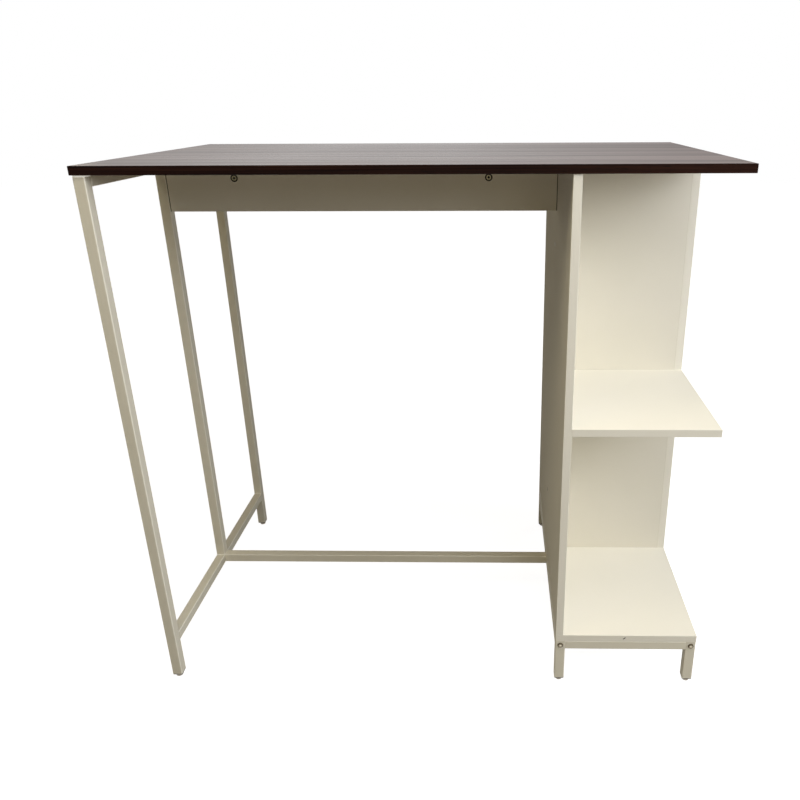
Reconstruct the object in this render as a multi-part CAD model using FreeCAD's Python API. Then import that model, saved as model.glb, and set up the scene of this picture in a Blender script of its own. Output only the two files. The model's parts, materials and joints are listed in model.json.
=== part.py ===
import FreeCAD
import Part
import math
import os

# Bar table: a board top on a steel leg frame at the left and a two-sided shelf unit at the right.
# All sizes are millimetres. +X runs to the shelf unit, +Y to the back and +Z up.
# The origin is on the floor, under the middle of the top.

# Overall sizes
top_length = 1100.0
top_depth = 600.0
table_height = 1050.0
board_thickness = 15.0
top_edge_radius = 1.0
board_edge_radius = 0.6
frame_inset = 3.0  # the frame and the shelf unit stand this far inside the edges of the top

# Square steel tube of the leg frame, the stretcher and the base
tube_size = 20.0
tube_wall = 1.2
tube_corner_radius = 2.0
rail_underside = 85.0  # height of the lower rails above the floor

# Shelf unit and apron
unit_width = 287.0
divider_setback = 15.0  # middle of the divider behind the middle of the table
apron_height = 100.0

# Plastic plugs in the open tube ends
plug_play = 0.1
plug_rib_height = 2.6
plug_length = 16.0
plug_rib_thickness = 1.2
plug_rib_count = 3
plug_rim_radius = 0.8
cap_rim = 3.0
insert_rim = 2.0

# Levelling glides
glide_radius = 7.2
glide_sole_radius = 4.6
glide_height = 8.0
glide_shoulder = 1.6
glide_sole_thickness = 2.4
stud_radius = 3.0
stud_length = 22.0
stud_chamfer = 0.8
running_play = 0.05

# Cam lock and cam bolt
cam_radius = 7.45
cam_depth = 12.5
cam_chamfer = 0.4
cam_distance = 34.0  # from the edge of the board to the middle of the lock
cam_eccentricity = 0.9
cam_pocket_radius = 4.6
cam_cross_length = 7.6
cam_cross_width = 1.4
cam_cross_depth = 2.2
cam_play = 0.3
bore_play = 0.05
cam_bolt_head_radius = 3.3
cam_bolt_neck_radius = 1.8
cam_bolt_shaft_radius = 2.7
cam_bolt_collar_radius = 3.8
cam_bolt_collar_height = 1.2
cam_bolt_thread_radius = 3.0
cam_bolt_thread_length = 11.0
cam_bolt_taper = 0.8
cam_bolt_hole_radius = 4.0
apron_cam_end_distance = 138.0
panel_cam_end_distance = 60.0
shelf_cam_end_distance = 50.0

# Wooden dowel
dowel_radius = 3.95
dowel_length = 30.0
dowel_face_depth = 10.0
dowel_chamfer = 0.8
dowel_end_distance = 45.0
dowel_hole_extra = 1.0

# Connecting screw through one board into the edge of the next
panel_screw_head_radius = 5.0
panel_screw_head_height = 1.4
panel_screw_cone_height = 2.6
panel_screw_radius = 3.4
panel_screw_length = 50.0
panel_screw_tip = 2.0
panel_screw_socket = 4.0
panel_screw_socket_depth = 2.2
panel_screw_play = 0.1
divider_screw_low_distance = 157.0  # above the bottom board
divider_screw_high_distance = 172.0  # below the top
apron_screw_edge_distance = 24.0

# Machine bolt of the base and the stretcher
bolt_radius = 3.0
bolt_head_radius = 5.7
bolt_head_height = 2.8
bolt_head_crown = 1.6
bolt_head_flat_radius = 3.6
bolt_socket = 4.0
bolt_socket_depth = 1.6
bolt_hole_play = 0.25
nut_length = 10.0
nut_play = 0.1
bolt_tip_past_nut = 2.0

# Pan head wood screw
wood_screw_radius = 1.9
wood_screw_head_radius = 3.8
wood_screw_head_height = 2.4
wood_screw_head_crown = 1.5
wood_screw_head_flat_radius = 2.2
wood_screw_grip = 11.0
wood_screw_tip = 4.0
wood_screw_slot_length = 4.2
wood_screw_slot_width = 0.9
wood_screw_slot_depth = 1.1
wood_screw_play = 0.1
wood_screw_access_radius = 4.6
top_screw_end_distance = 55.0
top_screw_spacing = 140.0
base_screw_end_distance = 110.0
base_screw_lock_distance = 27.25  # of the rear ones, from the lock in the middle of the rear bay

# Every cut runs this far past the face that it starts from
overrun = 1.0

# Angles in degrees
quarter_turn = 90.0
full_turn = 360.0
crown_angle = 50.0  # of the rounded edge of a screw head

# Places worked out from the sizes above
underside = table_height - board_thickness
left_x = frame_inset - top_length / 2
right_x = top_length / 2 - frame_inset
front_y = frame_inset - top_depth / 2
back_y = top_depth / 2 - frame_inset
half_board = board_thickness / 2
half_tube = tube_size / 2
tube_bottom = glide_height + insert_rim
rail_top = rail_underside + tube_size
rail_middle = rail_underside + half_tube
board_floor = rail_top + board_thickness
unit_x = right_x - unit_width
inner_x = unit_x + board_thickness
end_panel_x = right_x - board_thickness
divider_front = divider_setback - half_board
divider_back = divider_setback + half_board
shelf_underside = (board_floor + underside - board_thickness) / 2
shelf_top = shelf_underside + board_thickness
shelf_middle = shelf_underside + half_board
leg_inner_x = left_x + tube_size
leg_middle_x = left_x + half_tube
foot_left_x = unit_x + half_tube
foot_right_x = right_x - half_tube
leg_front_y = front_y + half_tube
leg_rear_y = back_y - half_tube
cross_rail_start = front_y + tube_size
cross_rail_length = back_y - front_y - 2 * tube_size
side_panel_middle = unit_x + half_board
end_panel_middle = right_x - half_board
bay_middle = (inner_x + end_panel_x) / 2
rear_bay_middle = (divider_back + back_y) / 2

along_x = FreeCAD.Vector(1, 0, 0)
along_y = FreeCAD.Vector(0, 1, 0)
along_z = FreeCAD.Vector(0, 0, 1)
leftward = along_x * -1
frontward = along_y * -1
downward = along_z * -1


def point(x, y, z):
    return FreeCAD.Vector(x, y, z)


# A straight block between two opposite corners
def block(low, high):
    span = high - low
    return Part.makeBox(span.x, span.y, span.z, low)


# A board with all its edges eased
def board(low, high, edge_radius):
    plain = block(low, high)
    return plain.makeFillet(edge_radius, plain.Edges)


# A shape drawn about local Z, set down at a place with its Z and X turned to two directions
def set_down(shape, place, z_direction, x_direction):
    y_direction = z_direction.cross(x_direction)
    turn = FreeCAD.Rotation(x_direction, y_direction, z_direction, "ZXY")
    copy = shape.copy()
    copy.Placement = FreeCAD.Placement(place, turn)
    return copy


# A round solid about Z. Each corner of its outline is a radius and a height, and where the
# outline bows out on its way there, the angle that this arc turns through
def turned(corners):
    edges = []
    start = point(corners[0][0], 0, corners[0][1])
    for radius, height, *arc_angle in corners[1:] + corners[:1]:
        end = point(radius, 0, height)
        if arc_angle:
            bow_share = math.tan(math.radians(arc_angle[0]) / 4) / 2
            bow = (end - start).cross(along_y) * -bow_share
            edges.append(Part.Arc(start, (start + end) / 2 + bow, end).toShape())
        else:
            edges.append(Part.LineSegment(start, end).toShape())
        start = end
    face = Part.Face(Part.Wire(edges))
    return face.revolve(point(0, 0, 0), along_z, full_turn)


# A cylinder about Z between two heights
def rod(radius, bottom, top):
    return Part.makeCylinder(radius, top - bottom, point(0, 0, bottom))


# A square bar about Z with rounded corners
def square_bar(width, corner_radius, bottom, height):
    half = width / 2
    bar = block(point(-half, -half, bottom), point(half, half, bottom + height))
    upright = [edge for edge in bar.Edges if edge.BoundBox.ZLength > height / 2]
    return bar.makeFillet(corner_radius, upright)


# A hexagon socket across its flats, cut down from a height
def hexagon_socket(across_flats, top, depth):
    reach = across_flats / math.sqrt(3)
    angles = [corner * math.tau / 6 for corner in range(6)]
    corners = [point(reach * math.cos(angle), reach * math.sin(angle), top) for angle in angles]
    face = Part.Face(Part.makePolygon(corners + corners[:1]))
    return face.extrude(downward * depth)


# Two crossed slots cut down from a height
def crossed_slots(length, width, top, depth):
    reach = length / 2
    half = width / 2
    one = block(point(-reach, -half, top - depth), point(reach, half, top))
    other = block(point(-half, -reach, top - depth), point(half, reach, top))
    return one.fuse(other)


# Hollow square tube from a start point in a direction
def tube(start, direction, length):
    outer = square_bar(tube_size, tube_corner_radius, 0, length)
    inner_width = tube_size - 2 * tube_wall
    inner_radius = tube_corner_radius - tube_wall
    inner = square_bar(inner_width, inner_radius, -overrun, length + 2 * overrun)
    across = along_y if direction.z else along_z
    return set_down(outer.cut(inner), start, direction, across)


# Plastic plug: a rim as wide as the tube and a ribbed core that grips its inside
def tube_plug(rim_height):
    inside = tube_size - 2 * tube_wall - plug_play
    inner_radius = tube_corner_radius - tube_wall
    rim = square_bar(tube_size, tube_corner_radius, -rim_height, rim_height)
    outer_edges = [edge for edge in rim.Edges if edge.BoundBox.ZMax < -rim_height / 2]
    rim = rim.makeFillet(plug_rim_radius, outer_edges)
    core = square_bar(inside - 2 * plug_rib_height, inner_radius, 0, plug_length)
    plug = rim.fuse(core)
    rib_step = plug_length / plug_rib_count
    for rib in range(plug_rib_count):
        rib_bottom = (rib + 1) * rib_step - plug_rib_thickness
        plug = plug.fuse(square_bar(inside, inner_radius, rib_bottom, plug_rib_thickness))
    return plug.removeSplitter()


# Plug with the through hole that guides the stud of a glide
def foot_insert():
    hole = rod(stud_radius + running_play, -insert_rim - overrun, plug_length + overrun)
    return tube_plug(insert_rim).cut(hole)


# Domed foot with a flat sole and a socket for its stud
def glide_foot():
    dome_height = glide_radius - glide_sole_radius
    foot = turned([
        (0, 0),
        (glide_sole_radius, 0),
        (glide_radius, dome_height, quarter_turn),
        (glide_radius, glide_height - glide_shoulder),
        (glide_radius - glide_shoulder, glide_height, quarter_turn),
        (0, glide_height),
    ])
    return foot.cut(rod(stud_radius + running_play, glide_sole_thickness, glide_height + overrun))


# Stud that stands in the glide and runs in the insert
def glide_stud():
    stud_top = glide_height + stud_length
    return turned([
        (0, glide_sole_thickness),
        (stud_radius, glide_sole_thickness),
        (stud_radius, stud_top - stud_chamfer),
        (stud_radius - stud_chamfer, stud_top),
        (0, stud_top),
    ])


# Cam lock: its face is at height 0 and its bolt comes in from +X
def cam_lock():
    rim = cam_radius - cam_chamfer
    lock = turned([
        (0, -cam_depth),
        (rim, -cam_depth),
        (cam_radius, cam_chamfer - cam_depth),
        (cam_radius, -cam_chamfer),
        (rim, 0),
        (0, 0),
    ])
    head_room = cam_bolt_head_radius + cam_play
    neck_room = cam_bolt_neck_radius + cam_play
    reach = cam_radius + overrun
    pocket_place = point(-cam_eccentricity, 0, -half_board - head_room)
    pocket = Part.makeCylinder(cam_pocket_radius, 2 * head_room, pocket_place)
    mouth_low = point(-head_room, 0, -half_board - head_room)
    mouth = block(mouth_low, point(head_room, reach, head_room - half_board))
    neck_low = point(0, -neck_room, -half_board - neck_room)
    neck_slot = block(neck_low, point(reach, neck_room, neck_room - half_board))
    sweep_place = point(0, 0, -half_board - neck_room)
    neck_sweep = Part.makeCylinder(reach, 2 * neck_room, sweep_place, along_z, quarter_turn)
    cross = crossed_slots(cam_cross_length, cam_cross_width, 0, cam_cross_depth)
    return lock.cut([pocket, mouth, neck_slot, neck_sweep, cross])


# Cam bolt along Z: thread below 0, collar on 0 and ball head in the lock
def cam_bolt():
    neck_start = cam_distance - cam_radius - cam_play
    head_angle = math.acos(cam_bolt_neck_radius / cam_bolt_head_radius)
    head_start = cam_distance - cam_bolt_head_radius * math.sin(head_angle)
    return turned([
        (0, -cam_bolt_thread_length),
        (cam_bolt_thread_radius - cam_bolt_taper, -cam_bolt_thread_length),
        (cam_bolt_thread_radius, cam_bolt_taper - cam_bolt_thread_length),
        (cam_bolt_thread_radius, 0),
        (cam_bolt_collar_radius, 0),
        (cam_bolt_collar_radius, cam_bolt_collar_height),
        (cam_bolt_shaft_radius, cam_bolt_collar_height + cam_bolt_taper),
        (cam_bolt_shaft_radius, neck_start - cam_bolt_taper),
        (cam_bolt_neck_radius, neck_start),
        (cam_bolt_neck_radius, head_start),
        (cam_bolt_head_radius, cam_distance, math.degrees(head_angle)),
        (0, cam_distance + cam_bolt_head_radius, quarter_turn),
    ])


# Dowel with eased ends: it stands in a face below 0 and in an edge above 0
def wood_dowel():
    edge_depth = dowel_length - dowel_face_depth
    return turned([
        (0, -dowel_face_depth),
        (dowel_radius - dowel_chamfer, -dowel_face_depth),
        (dowel_radius, dowel_chamfer - dowel_face_depth),
        (dowel_radius, edge_depth - dowel_chamfer),
        (dowel_radius - dowel_chamfer, edge_depth),
        (0, edge_depth),
    ])


# Connecting screw from its flush head at 0 down to its tip, or the hole for it with some play
def panel_screw_body(play):
    cone_bottom = panel_screw_head_height + panel_screw_cone_height
    return turned([
        (0, -play),
        (panel_screw_head_radius + play, -play),
        (panel_screw_head_radius + play, panel_screw_head_height),
        (panel_screw_radius + play, cone_bottom),
        (panel_screw_radius + play, panel_screw_length - panel_screw_tip),
        (panel_screw_radius + play - panel_screw_tip, panel_screw_length + play),
        (0, panel_screw_length + play),
    ])


# Connecting screw with its hexagon socket
def panel_screw():
    depth = panel_screw_socket_depth
    return panel_screw_body(0).cut(hexagon_socket(panel_screw_socket, depth, depth + overrun))


# Low round head bolt: its head bears on 0 and its shank runs up
def machine_bolt(shank_length):
    bolt = turned([
        (0, -bolt_head_height),
        (bolt_head_flat_radius, -bolt_head_height),
        (bolt_head_radius, bolt_head_crown - bolt_head_height, crown_angle),
        (bolt_head_radius, 0),
        (bolt_radius, 0),
        (bolt_radius, shank_length),
        (0, shank_length),
    ])
    socket_top = bolt_socket_depth - bolt_head_height
    return bolt.cut(hexagon_socket(bolt_socket, socket_top, bolt_socket_depth + overrun))


# Threaded block fixed inside the end of a tube
def end_nut():
    inside = tube_size - 2 * tube_wall - nut_play
    nut = square_bar(inside, tube_corner_radius - tube_wall, 0, nut_length)
    return nut.cut(rod(bolt_radius + running_play, -overrun, nut_length + overrun))


# Pan head screw: its head bears on 0 and its shank runs up through so much steel into a board
def wood_screw(through):
    length = through + wood_screw_grip
    screw = turned([
        (0, -wood_screw_head_height),
        (wood_screw_head_flat_radius, -wood_screw_head_height),
        (wood_screw_head_radius, wood_screw_head_crown - wood_screw_head_height, crown_angle),
        (wood_screw_head_radius, 0),
        (wood_screw_radius, 0),
        (wood_screw_radius, length - wood_screw_tip),
        (0, length),
    ])
    slot_top = wood_screw_slot_depth - wood_screw_head_height
    slot_cut = wood_screw_slot_depth + overrun
    return screw.cut(crossed_slots(wood_screw_slot_length, wood_screw_slot_width, slot_top, slot_cut))


# Boards and tubes by name, the holes to cut in each, and the fasteners by name
pieces = {}
holes = {}
fasteners = {}


def add_piece(name, shape):
    pieces[name] = shape
    holes[name] = []


def add_fastener(name, shape):
    fasteners.setdefault(name, []).append(shape)


# Cam joint: a lock in the face of one board draws it against the next board
def cam_joint(group, lock_board, bolt_board, seat, into, face):
    lock_place = seat + into * cam_distance + face * half_board
    add_fastener(group + "_cam_locks", set_down(cam_lock(), lock_place, face, into * -1))
    add_fastener(group + "_cam_bolts", set_down(cam_bolt(), seat, into, face))
    lock_hole = rod(cam_radius + bore_play, -cam_depth - bore_play, overrun)
    shaft_hole = rod(cam_bolt_hole_radius, -overrun, cam_distance)
    thread_hole = rod(cam_bolt_thread_radius + bore_play, -cam_bolt_thread_length - bore_play, overrun)
    holes[lock_board].append(set_down(lock_hole, lock_place, face, into))
    holes[lock_board].append(set_down(shaft_hole, seat, into, face))
    holes[bolt_board].append(set_down(thread_hole, seat, into, face))


# Dowel joint: the edge of one board is pinned to the face of the next
def dowel_joint(edge_board, face_board, seat, into, across):
    add_fastener("wood_dowels", set_down(wood_dowel(), seat, into, across))
    edge_depth = dowel_length - dowel_face_depth + dowel_hole_extra
    edge_hole = rod(dowel_radius + bore_play, -overrun, edge_depth)
    face_hole = rod(dowel_radius + bore_play, -dowel_face_depth - dowel_hole_extra, overrun)
    holes[edge_board].append(set_down(edge_hole, seat, into, across))
    holes[face_board].append(set_down(face_hole, seat, into, across))


# Screw joint: a flush screw through one board into the edge of the next
def screw_joint(face_board, edge_board, head_place, into, across):
    add_fastener("panel_screws", set_down(panel_screw(), head_place, into, across))
    hole = set_down(panel_screw_body(panel_screw_play), head_place, into, across)
    holes[face_board].append(hole)
    holes[edge_board].append(hole)


# Bolt through a crossing tube into the threaded block at the end of another
def bolt_joint(group, crossed_tube, head_place, into, across):
    shank = tube_size + nut_length + bolt_tip_past_nut
    add_fastener(group, set_down(machine_bolt(shank), head_place, into, across))
    add_fastener("rail_end_nuts", set_down(end_nut(), head_place + into * tube_size, into, across))
    hole = rod(bolt_radius + bolt_hole_play, -overrun, tube_size + overrun)
    holes[crossed_tube].append(set_down(hole, head_place, into, across))


# Wood screw through a tube into a board. Its head bears on the tube's outer face or, sunk, on the inside of
# the far wall, where a wider hole in the near wall lets it in
def wood_screw_joint(group, crossed_tube, into_board, outer_place, into, across, sunk):
    through = tube_wall if sunk else tube_size
    head_place = outer_place + into * (tube_size - through)
    add_fastener(group, set_down(wood_screw(through), head_place, into, across))
    length = through + wood_screw_grip + wood_screw_play
    hole = rod(wood_screw_radius + wood_screw_play, -overrun, length)
    hole = set_down(hole, head_place, into, across)
    holes[crossed_tube].append(hole)
    holes[into_board].append(hole)
    if sunk:
        access = rod(wood_screw_access_radius, -overrun, tube_wall + overrun)
        holes[crossed_tube].append(set_down(access, outer_place, into, across))


# Table top and apron
def make_top():
    low = point(-top_length / 2, -top_depth / 2, underside)
    high = point(top_length / 2, top_depth / 2, table_height)
    add_piece("table_top", board(low, high, top_edge_radius))
    low = point(leg_inner_x, -half_board, underside - apron_height)
    high = point(unit_x, half_board, underside)
    add_piece("apron", board(low, high, board_edge_radius))


# Leg frame at the left end: two full legs, a middle leg, two rails and the stretcher
def make_leg_frame():
    leg_length = underside - cap_rim - tube_bottom
    add_piece("left_front_leg", tube(point(leg_middle_x, leg_front_y, tube_bottom), along_z, leg_length))
    add_piece("left_rear_leg", tube(point(leg_middle_x, leg_rear_y, tube_bottom), along_z, leg_length))
    for name, height in (("left_top_rail", underside - half_tube), ("left_lower_rail", rail_middle)):
        rail_start = point(leg_middle_x, cross_rail_start, height)
        add_piece(name, tube(rail_start, along_y, cross_rail_length))
    middle_length = underside - tube_size - rail_top
    add_piece("left_middle_leg", tube(point(leg_middle_x, 0, rail_top), along_z, middle_length))
    add_piece("stretcher", tube(point(leg_inner_x, 0, rail_middle), along_x, unit_x - leg_inner_x))
    for leg_y in (leg_front_y, leg_rear_y):
        cap_place = point(leg_middle_x, leg_y, underside - cap_rim)
        add_fastener("leg_top_caps", set_down(tube_plug(cap_rim), cap_place, downward, along_x))


# Base of the shelf unit: four short feet joined by four rails
def make_base():
    foot_length = rail_top - tube_bottom
    for side, foot_x in (("left", foot_left_x), ("right", foot_right_x)):
        for end, foot_y in (("front", leg_front_y), ("rear", leg_rear_y)):
            name = "base_foot_" + end + "_" + side
            add_piece(name, tube(point(foot_x, foot_y, tube_bottom), along_z, foot_length))
        rail_start = point(foot_x, cross_rail_start, rail_middle)
        add_piece("base_" + side + "_rail", tube(rail_start, along_y, cross_rail_length))
    for end, rail_y in (("front", leg_front_y), ("rear", leg_rear_y)):
        rail_start = point(unit_x + tube_size, rail_y, rail_middle)
        add_piece("base_" + end + "_rail", tube(rail_start, along_x, unit_width - 2 * tube_size))


# Boards of the shelf unit, each between its lowest and its highest corner
def make_shelf_unit():
    corners = {
        "bottom_board": (unit_x, front_y, rail_top, right_x, back_y, board_floor),
        "side_panel": (unit_x, front_y, board_floor, inner_x, back_y, underside),
        "divider": (inner_x, divider_front, board_floor, end_panel_x, divider_back, underside),
        "end_panel": (end_panel_x, divider_front, board_floor, right_x, back_y, underside),
        "front_shelf": (inner_x, front_y, shelf_underside, right_x, divider_front, shelf_top),
        "rear_shelf": (inner_x, divider_back, shelf_underside, end_panel_x, back_y, shelf_top),
    }
    for name, corner in corners.items():
        add_piece(name, board(point(*corner[:3]), point(*corner[3:]), board_edge_radius))


# Glides: insert in the tube, stud and domed foot under each of the six legs
def make_glides():
    places = {
        "left_front": (leg_middle_x, leg_front_y),
        "left_rear": (leg_middle_x, leg_rear_y),
        "unit_front_left": (foot_left_x, leg_front_y),
        "unit_front_right": (foot_right_x, leg_front_y),
        "unit_rear_left": (foot_left_x, leg_rear_y),
        "unit_rear_right": (foot_right_x, leg_rear_y),
    }
    for name, (x, y) in places.items():
        add_fastener("foot_inserts", set_down(foot_insert(), point(x, y, tube_bottom), along_z, along_x))
        add_piece("glide_" + name, set_down(glide_foot(), point(x, y, 0), along_z, along_x))
        add_piece("glide_stud_" + name, set_down(glide_stud(), point(x, y, 0), along_z, along_x))


# Joints under the top: locks in the apron, screws through the top rail of the leg frame
def join_top():
    for x in (leg_inner_x + apron_cam_end_distance, unit_x - apron_cam_end_distance):
        cam_joint("apron", "apron", "table_top", point(x, 0, underside), downward, frontward)
    for offset in (top_screw_end_distance, top_screw_end_distance + top_screw_spacing):
        for y in (cross_rail_start + offset, cross_rail_start + cross_rail_length - offset):
            below = point(leg_middle_x, y, underside - tube_size)
            wood_screw_joint("top_rail_screws", "left_top_rail", "table_top", below, along_z, along_x, True)


# Joints of the upright panels: locks and dowels at both ends, screws into the divider
def join_panels():
    ends = (("table_top", underside, downward), ("bottom_board", board_floor, along_z))
    for face_board, z, into in ends:
        for y in (front_y + panel_cam_end_distance, back_y - panel_cam_end_distance):
            cam_joint("panel", "side_panel", face_board, point(side_panel_middle, y, z), into, along_x)
        seat = point(bay_middle, divider_setback, z)
        cam_joint("panel", "divider", face_board, seat, into, along_y)
        seat = point(end_panel_middle, rear_bay_middle, z)
        cam_joint("panel", "end_panel", face_board, seat, into, leftward)
        for x in (inner_x + dowel_end_distance, end_panel_x - dowel_end_distance):
            dowel_joint("divider", face_board, point(x, divider_setback, z), into, along_x)
        for y in (divider_back + dowel_end_distance, back_y - dowel_end_distance):
            dowel_joint("end_panel", face_board, point(end_panel_middle, y, z), into, along_x)
    for height in (board_floor + divider_screw_low_distance, underside - divider_screw_high_distance):
        left_head = point(unit_x, divider_setback, height)
        screw_joint("side_panel", "divider", left_head, along_x, along_z)
        right_head = point(right_x, divider_setback, height)
        screw_joint("end_panel", "divider", right_head, leftward, along_z)


# Joints of the shelves: locks under each shelf, dowels into the divider
def join_shelves():
    for y in (front_y + shelf_cam_end_distance, divider_front - shelf_cam_end_distance):
        seat = point(inner_x, y, shelf_middle)
        cam_joint("shelf", "front_shelf", "side_panel", seat, along_x, downward)
    for y in (divider_back + shelf_cam_end_distance, back_y - shelf_cam_end_distance):
        seat = point(inner_x, y, shelf_middle)
        cam_joint("shelf", "rear_shelf", "side_panel", seat, along_x, downward)
        seat = point(end_panel_x, y, shelf_middle)
        cam_joint("shelf", "rear_shelf", "end_panel", seat, leftward, downward)
    for x in (inner_x + 2 * dowel_end_distance, end_panel_x - dowel_end_distance):
        seat = point(x, divider_front, shelf_middle)
        dowel_joint("front_shelf", "divider", seat, frontward, along_x)


# Joints of the apron ends: screws through the middle leg and through the side panel
def join_apron():
    high = underside - apron_screw_edge_distance
    low = underside - apron_height + apron_screw_edge_distance
    for height in (low, high):
        beside = point(left_x, 0, height)
        wood_screw_joint("apron_leg_screws", "left_middle_leg", "apron", beside, along_x, along_z, False)
        screw_joint("side_panel", "apron", point(inner_x, 0, height), leftward, along_z)


# Joints of the base and the stretcher
def join_base():
    for side, x in (("left", foot_left_x), ("right", foot_right_x)):
        front_head = point(x, front_y, rail_middle)
        bolt_joint("base_bolts", "base_foot_front_" + side, front_head, along_y, along_z)
        rear_head = point(x, back_y, rail_middle)
        bolt_joint("base_bolts", "base_foot_rear_" + side, rear_head, frontward, along_z)
        rail = "base_" + side + "_rail"
        for y in (front_y + base_screw_end_distance, rear_bay_middle + base_screw_lock_distance):
            below = point(x, y, rail_underside)
            wood_screw_joint("base_board_screws", rail, "bottom_board", below, along_z, along_x, True)
    outer_face = point(left_x, 0, rail_middle)
    bolt_joint("stretcher_bolts", "left_lower_rail", outer_face, along_x, along_z)
    inner_face = point(unit_x + tube_size, 0, rail_middle)
    bolt_joint("stretcher_bolts", "base_left_rail", inner_face, leftward, along_z)


make_top()
make_leg_frame()
make_base()
make_shelf_unit()
make_glides()
join_top()
join_panels()
join_shelves()
join_apron()
join_base()

os.makedirs("parts", exist_ok=True)
for name, shape in pieces.items():
    finished = shape.cut(holes[name]) if holes[name] else shape
    finished.exportStep("parts/" + name + ".step")
for name, shapes in fasteners.items():
    Part.makeCompound(shapes).exportStep("parts/" + name + ".step")
print(len(pieces) + len(fasteners), "nodes written")
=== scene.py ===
import json
import bpy
import numpy as np
from mathutils import Matrix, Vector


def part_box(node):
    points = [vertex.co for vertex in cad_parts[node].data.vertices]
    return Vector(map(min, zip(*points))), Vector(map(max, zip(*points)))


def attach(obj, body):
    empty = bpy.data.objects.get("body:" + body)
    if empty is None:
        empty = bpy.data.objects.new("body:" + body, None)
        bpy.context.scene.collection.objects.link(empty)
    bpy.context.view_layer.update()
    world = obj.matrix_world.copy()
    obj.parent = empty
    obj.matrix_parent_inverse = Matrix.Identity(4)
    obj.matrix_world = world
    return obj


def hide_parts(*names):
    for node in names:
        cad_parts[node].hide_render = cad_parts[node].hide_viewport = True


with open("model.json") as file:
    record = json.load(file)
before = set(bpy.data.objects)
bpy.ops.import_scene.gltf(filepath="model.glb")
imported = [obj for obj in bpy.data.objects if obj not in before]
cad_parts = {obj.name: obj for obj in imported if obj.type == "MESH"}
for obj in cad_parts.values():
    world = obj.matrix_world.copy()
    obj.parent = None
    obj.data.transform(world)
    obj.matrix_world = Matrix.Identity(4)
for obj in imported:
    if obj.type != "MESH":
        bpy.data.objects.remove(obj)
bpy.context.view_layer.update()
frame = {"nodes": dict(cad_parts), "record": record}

solids = frame["nodes"]
metre = 0.001  # one millimetre in metres
resinIor = 1.5  # how strongly melamine, paint, plastic and wood bend light
noiseLow, noiseHigh = 0.3, 0.7  # nearly all values of a noise texture lie between these
print("frame loaded:", len(solids), "solids")


def toLinear(hexColour):
    # sRGB hex to linear light: c / 12.92 up to 0.04045, above it ((c + 0.055) / 1.055) to the power 2.4
    parts = np.array([int(hexColour[place:place + 2], 16) for place in (1, 3, 5)]) / 255
    linear = np.where(parts <= 0.04045, parts / 12.92, ((parts + 0.055) / 1.055) ** 2.4)
    return (*(float(part) for part in linear), 1.0)


def perMetre(size):
    # a size in millimetres becomes the pattern scale that has one cell in that size
    return 1 / (size * metre)


def addNode(tree, kind, settings=None, inputs=None):
    # adds one node, sets its properties, and sets or links its inputs by name or number
    node = tree.nodes.new(kind)
    for name, value in (settings or {}).items():
        setattr(node, name, value)
    for name, value in (inputs or {}).items():
        if isinstance(value, bpy.types.NodeSocket):
            tree.links.new(value, node.inputs[name])
        else:
            node.inputs[name].default_value = value
    return node


def emptyFinish(name):
    finish = bpy.data.materials.new(name)
    finish.use_nodes = True
    finish.node_tree.nodes.clear()
    return finish


def wear(node, finish):
    # puts a finish in every material slot of a solid; its mesh stays as it is
    for materialSlot in solids[node].material_slots:
        materialSlot.material = finish


def meshPiece(name, points, faces, finish, body, smooth=True):
    # an object at the origin from an array of points and a list of faces
    mesh = bpy.data.meshes.new(name)
    mesh.from_pydata(points.tolist(), [], faces)
    mesh.polygons.foreach_set("use_smooth", np.full(len(mesh.polygons), smooth))
    mesh.update()
    mesh.materials.append(finish)
    piece = bpy.data.objects.new(name, mesh)
    bpy.context.scene.collection.objects.link(piece)
    if body:
        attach(piece, body)
    return piece


def gridFaces(rows, columns):
    # quads between neighbours of a grid whose columns close on themselves, with a face over each end
    row, column = np.meshgrid(np.arange(rows - 1), np.arange(columns), indexing="ij")
    corner = row * columns + column
    beside = row * columns + (column + 1) % columns
    quads = np.stack([corner, beside, beside + columns, corner + columns], axis=-1).reshape(-1, 4).tolist()
    firstRow = np.arange(columns)
    return quads + [firstRow[::-1].tolist(), (firstRow + (rows - 1) * columns).tolist()]


darkTopLook = {
    "deep": "#26140e", "middle": "#40291f", "light": "#634536", "pore": "#150c0a",
    "deepAt": 0.34, "middleAt": 0.5, "lightAt": 0.68,  # where in the noise the three tones stand
    "bandPart": 0.55, "streakPart": 0.45,           # what bands and streaks add to that noise
    "edgeShade": "#8a7064", "edgePaintedHighlightRight": "#e2d6d2",  # the edge is darker than the sheet; towards the right a painted highlight lightens it
    "lineLength": 500.0, "lineWidth": 2.4, "lineDepth": 0.9,  # fine lines of the print along the edge
    "bandWidth": 24.0, "bandLength": 1500.0,        # broad light and dark bands of the print
    "streakWidth": 4.5, "streakLength": 260.0,      # the streaks inside them
    "poreWidth": 1.4, "poreLength": 22.0,           # real pores are 0.2 wide: drawn coarser so they show
    "poreFrom": 0.6, "poreFull": 0.72,              # where in their noise the pores start and are full
    "wander": 9.0, "wanderLength": 420.0, "wanderWidth": 160.0,  # how far the grain strays sideways, over what size
    "reliefHeight": 0.05, "reliefStrength": 0.5, "roughness": 0.26, "band": 0.9,
    "sheenSwing": 0.038, "swingFrom": 0.35, "swingTo": 0.65,  # dark bands are rougher than light ones by this
    "shine": 0.16, "edgeShine": 0.05,               # the pressed grain dulls it when seen straight on
    # the same span also sets where the painted highlight on the front edge rises
    "brightSpot": -100.0, "rubbedAndHighlightFrom": 150.0, "rubbedAndHighlightTo": 660.0, "rubbed": 0.12,  # hands have dulled the ends
}


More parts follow.
